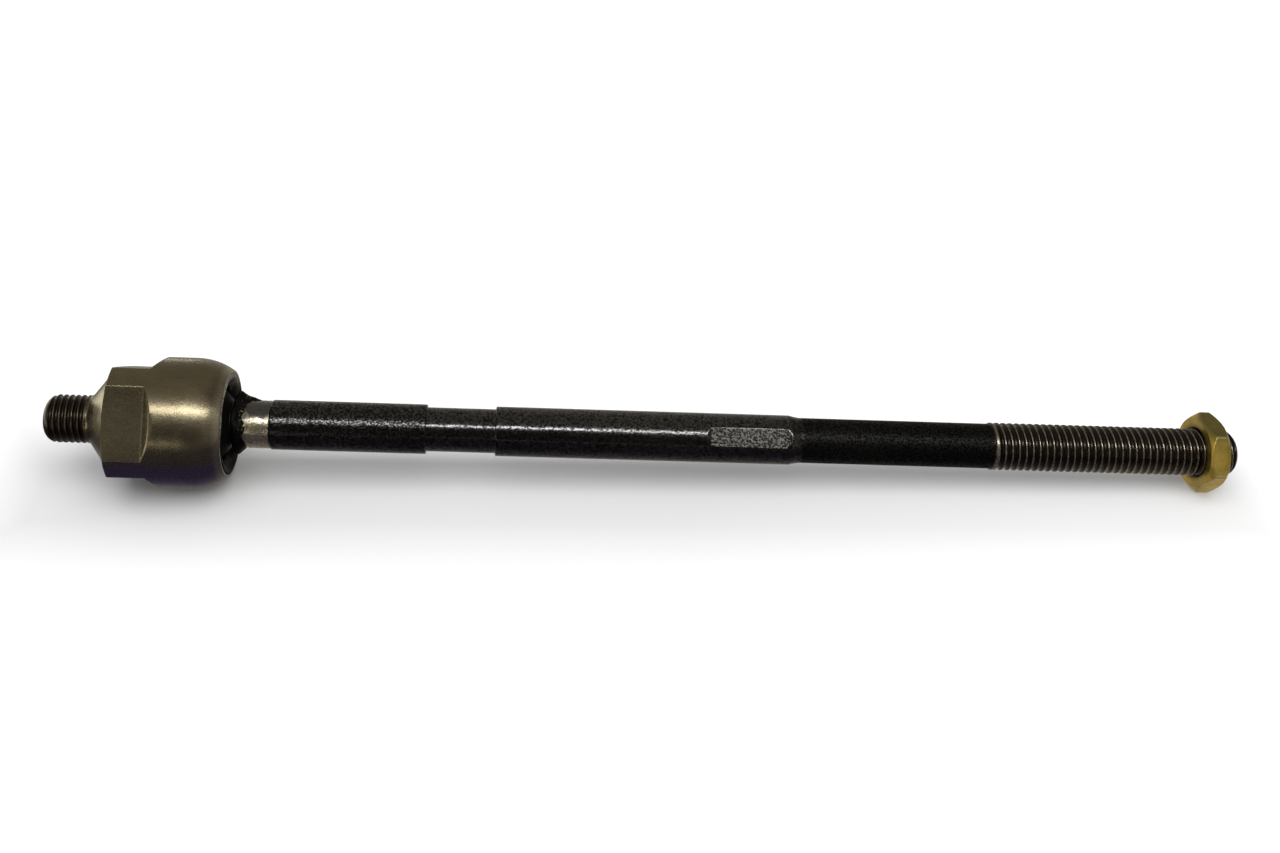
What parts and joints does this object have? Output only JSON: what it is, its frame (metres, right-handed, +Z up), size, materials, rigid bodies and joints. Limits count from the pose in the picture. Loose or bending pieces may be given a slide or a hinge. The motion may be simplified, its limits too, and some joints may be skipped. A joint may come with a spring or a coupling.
{
  "type": "inner tie rod",
  "caption": "Steering inner tie rod: threaded ball housing with spanner flats, painted rod with bellows groove, threaded end and jam nut.",
  "frame": {"origin": "on the common axis where the stub thread meets the shoulder of the ball housing", "axes": "+X along the rod from the stub thread to the jam nut, +Z up with the rod lying on its side and a flat of the jam nut down"},
  "size_m": [0.2992, 0.0322, 0.0322],
  "materials": {
    "forged_steel": "oiled forged steel, dark olive brown",
    "seat_plastic": "natural acetal",
    "spring_steel": "spring steel sheet",
    "black_paint": "semi-gloss black paint over steel",
    "yellow_zinc": "yellow chromated zinc"
  },
  "bodies": {
    "housing": {"ball_housing": "forged_steel", "disc_spring": "spring_steel"},
    "seats": {"rear_ball_seat": "seat_plastic", "front_ball_seat": "seat_plastic"},
    "rod": {"tie_rod": "black_paint"},
    "nut": {"jam_nut": "yellow_zinc"}
  },
  "joints": [
    {"name": "rod_spin", "type": "hinge", "parent": "housing", "child": "seats", "pos_m": [0.0248, 0, 0], "axis": [1, 0, 0], "continuous": true},
    {"name": "rod_swing", "type": "hinge", "parent": "seats", "child": "rod", "pos_m": [0.0248, 0, 0], "axis": [0, 1, 0], "range_deg": [-25, 25]},
    {"name": "nut_run", "type": "slide", "parent": "rod", "child": "nut", "axis": [1, 0, 0], "range_m": [-0.053, 0.0039]}
  ]
}
